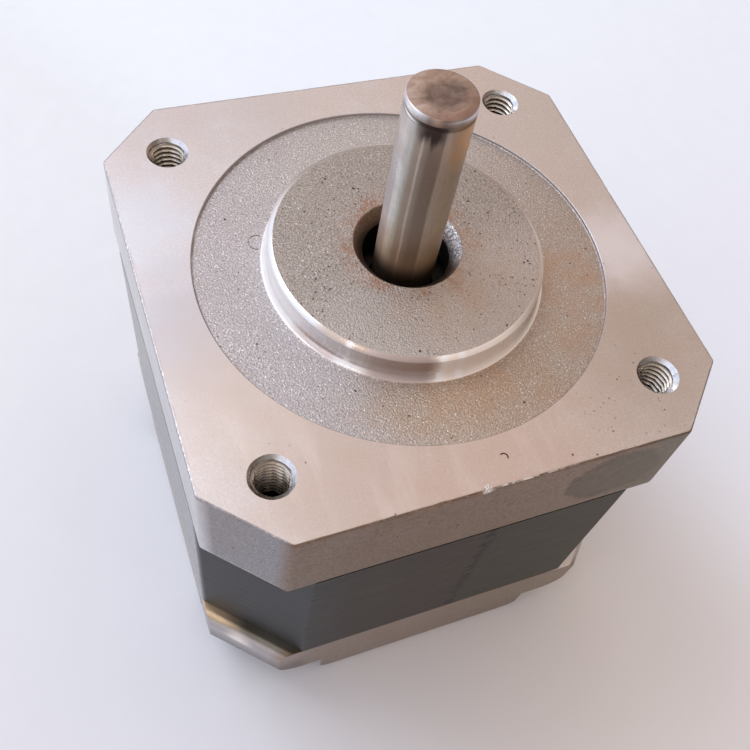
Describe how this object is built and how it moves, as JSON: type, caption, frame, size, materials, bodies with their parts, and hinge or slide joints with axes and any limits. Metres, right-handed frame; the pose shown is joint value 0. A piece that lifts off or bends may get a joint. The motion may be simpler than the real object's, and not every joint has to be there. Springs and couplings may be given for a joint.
{
  "type": "stepper motor",
  "caption": "Square-bodied hybrid stepper motor with a plain round output shaft, a raised centring boss and tapped corner holes in its mounting face.",
  "frame": {"origin": "centre of the mounting face, on the shaft's axis", "axes": "+Z along the shaft, out of the motor; the connector is on the +Y side"},
  "size_m": [0.0418, 0.0443, 0.0548],
  "materials": {
    "cast_aluminium": "die cast, machined on the mounting face, dull",
    "stator_steel": "dark coated laminations",
    "insulator_plastic": "moulded, matte",
    "winding_copper": "enamelled copper wire",
    "shaft_steel": "ground, lightly stained",
    "rotor_steel": "stamped laminations, ground outside",
    "magnet": "plated sintered magnet",
    "spacer_steel": "turned",
    "cage_steel": "pressed",
    "seal_rubber": "black moulded rubber",
    "bearing_steel": "ground and polished",
    "spring_steel": "hardened, blued",
    "screw_steel": "zinc plated",
    "connector_plastic": "moulded, natural white",
    "pin_tin": "tinned",
    "board_laminate": "solder resist, green"
  },
  "bodies": {
    "housing": {"front_end_bell": "cast_aluminium", "rear_end_cover": "cast_aluminium", "stator_core": "stator_steel", "front_slot_insulator": "insulator_plastic", "rear_slot_insulator": "insulator_plastic", "coil_1": "winding_copper", "coil_2": "winding_copper", "coil_3": "winding_copper", "coil_4": "winding_copper", "coil_5": "winding_copper", "coil_6": "winding_copper", "coil_7": "winding_copper", "coil_8": "winding_copper", "front_bearing_outer_ring": "bearing_steel", "front_bearing_seals": "seal_rubber", "rear_bearing_outer_ring": "bearing_steel", "rear_bearing_seals": "seal_rubber", "preload_washer": "spring_steel", "body_screws": "screw_steel", "connector_housing": "connector_plastic", "connector_pins": "pin_tin", "connector_board": "board_laminate"},
    "rotor": {"rotor_shaft": "shaft_steel", "front_rotor_cup": "rotor_steel", "rear_rotor_cup": "rotor_steel", "rotor_magnet": "magnet", "front_bearing_inner_ring": "bearing_steel", "rear_bearing_inner_ring": "bearing_steel", "front_rotor_spacer": "spacer_steel", "rear_rotor_spacer": "spacer_steel"},
    "front_ball_set": {"front_bearing_balls": "bearing_steel", "front_bearing_cage": "cage_steel"},
    "rear_ball_set": {"rear_bearing_balls": "bearing_steel", "rear_bearing_cage": "cage_steel"}
  },
  "joints": [
    {"name": "rotor_spin", "type": "hinge", "parent": "housing", "child": "rotor", "pos_m": [0, 0, 0], "axis": [0, 0, 1], "continuous": true},
    {"name": "front_balls_spin", "type": "hinge", "parent": "housing", "child": "front_ball_set", "pos_m": [0, 0, -0.0049], "axis": [0, 0, 1], "continuous": true},
    {"name": "rear_balls_spin", "type": "hinge", "parent": "housing", "child": "rear_ball_set", "pos_m": [0, 0, -0.0336], "axis": [0, 0, 1], "continuous": true}
  ],
  "couplings": [
    {"joint": "front_balls_spin", "follows": "rotor_spin", "ratio": 0.34881},
    {"joint": "rear_balls_spin", "follows": "rotor_spin", "ratio": 0.34881}
  ]
}
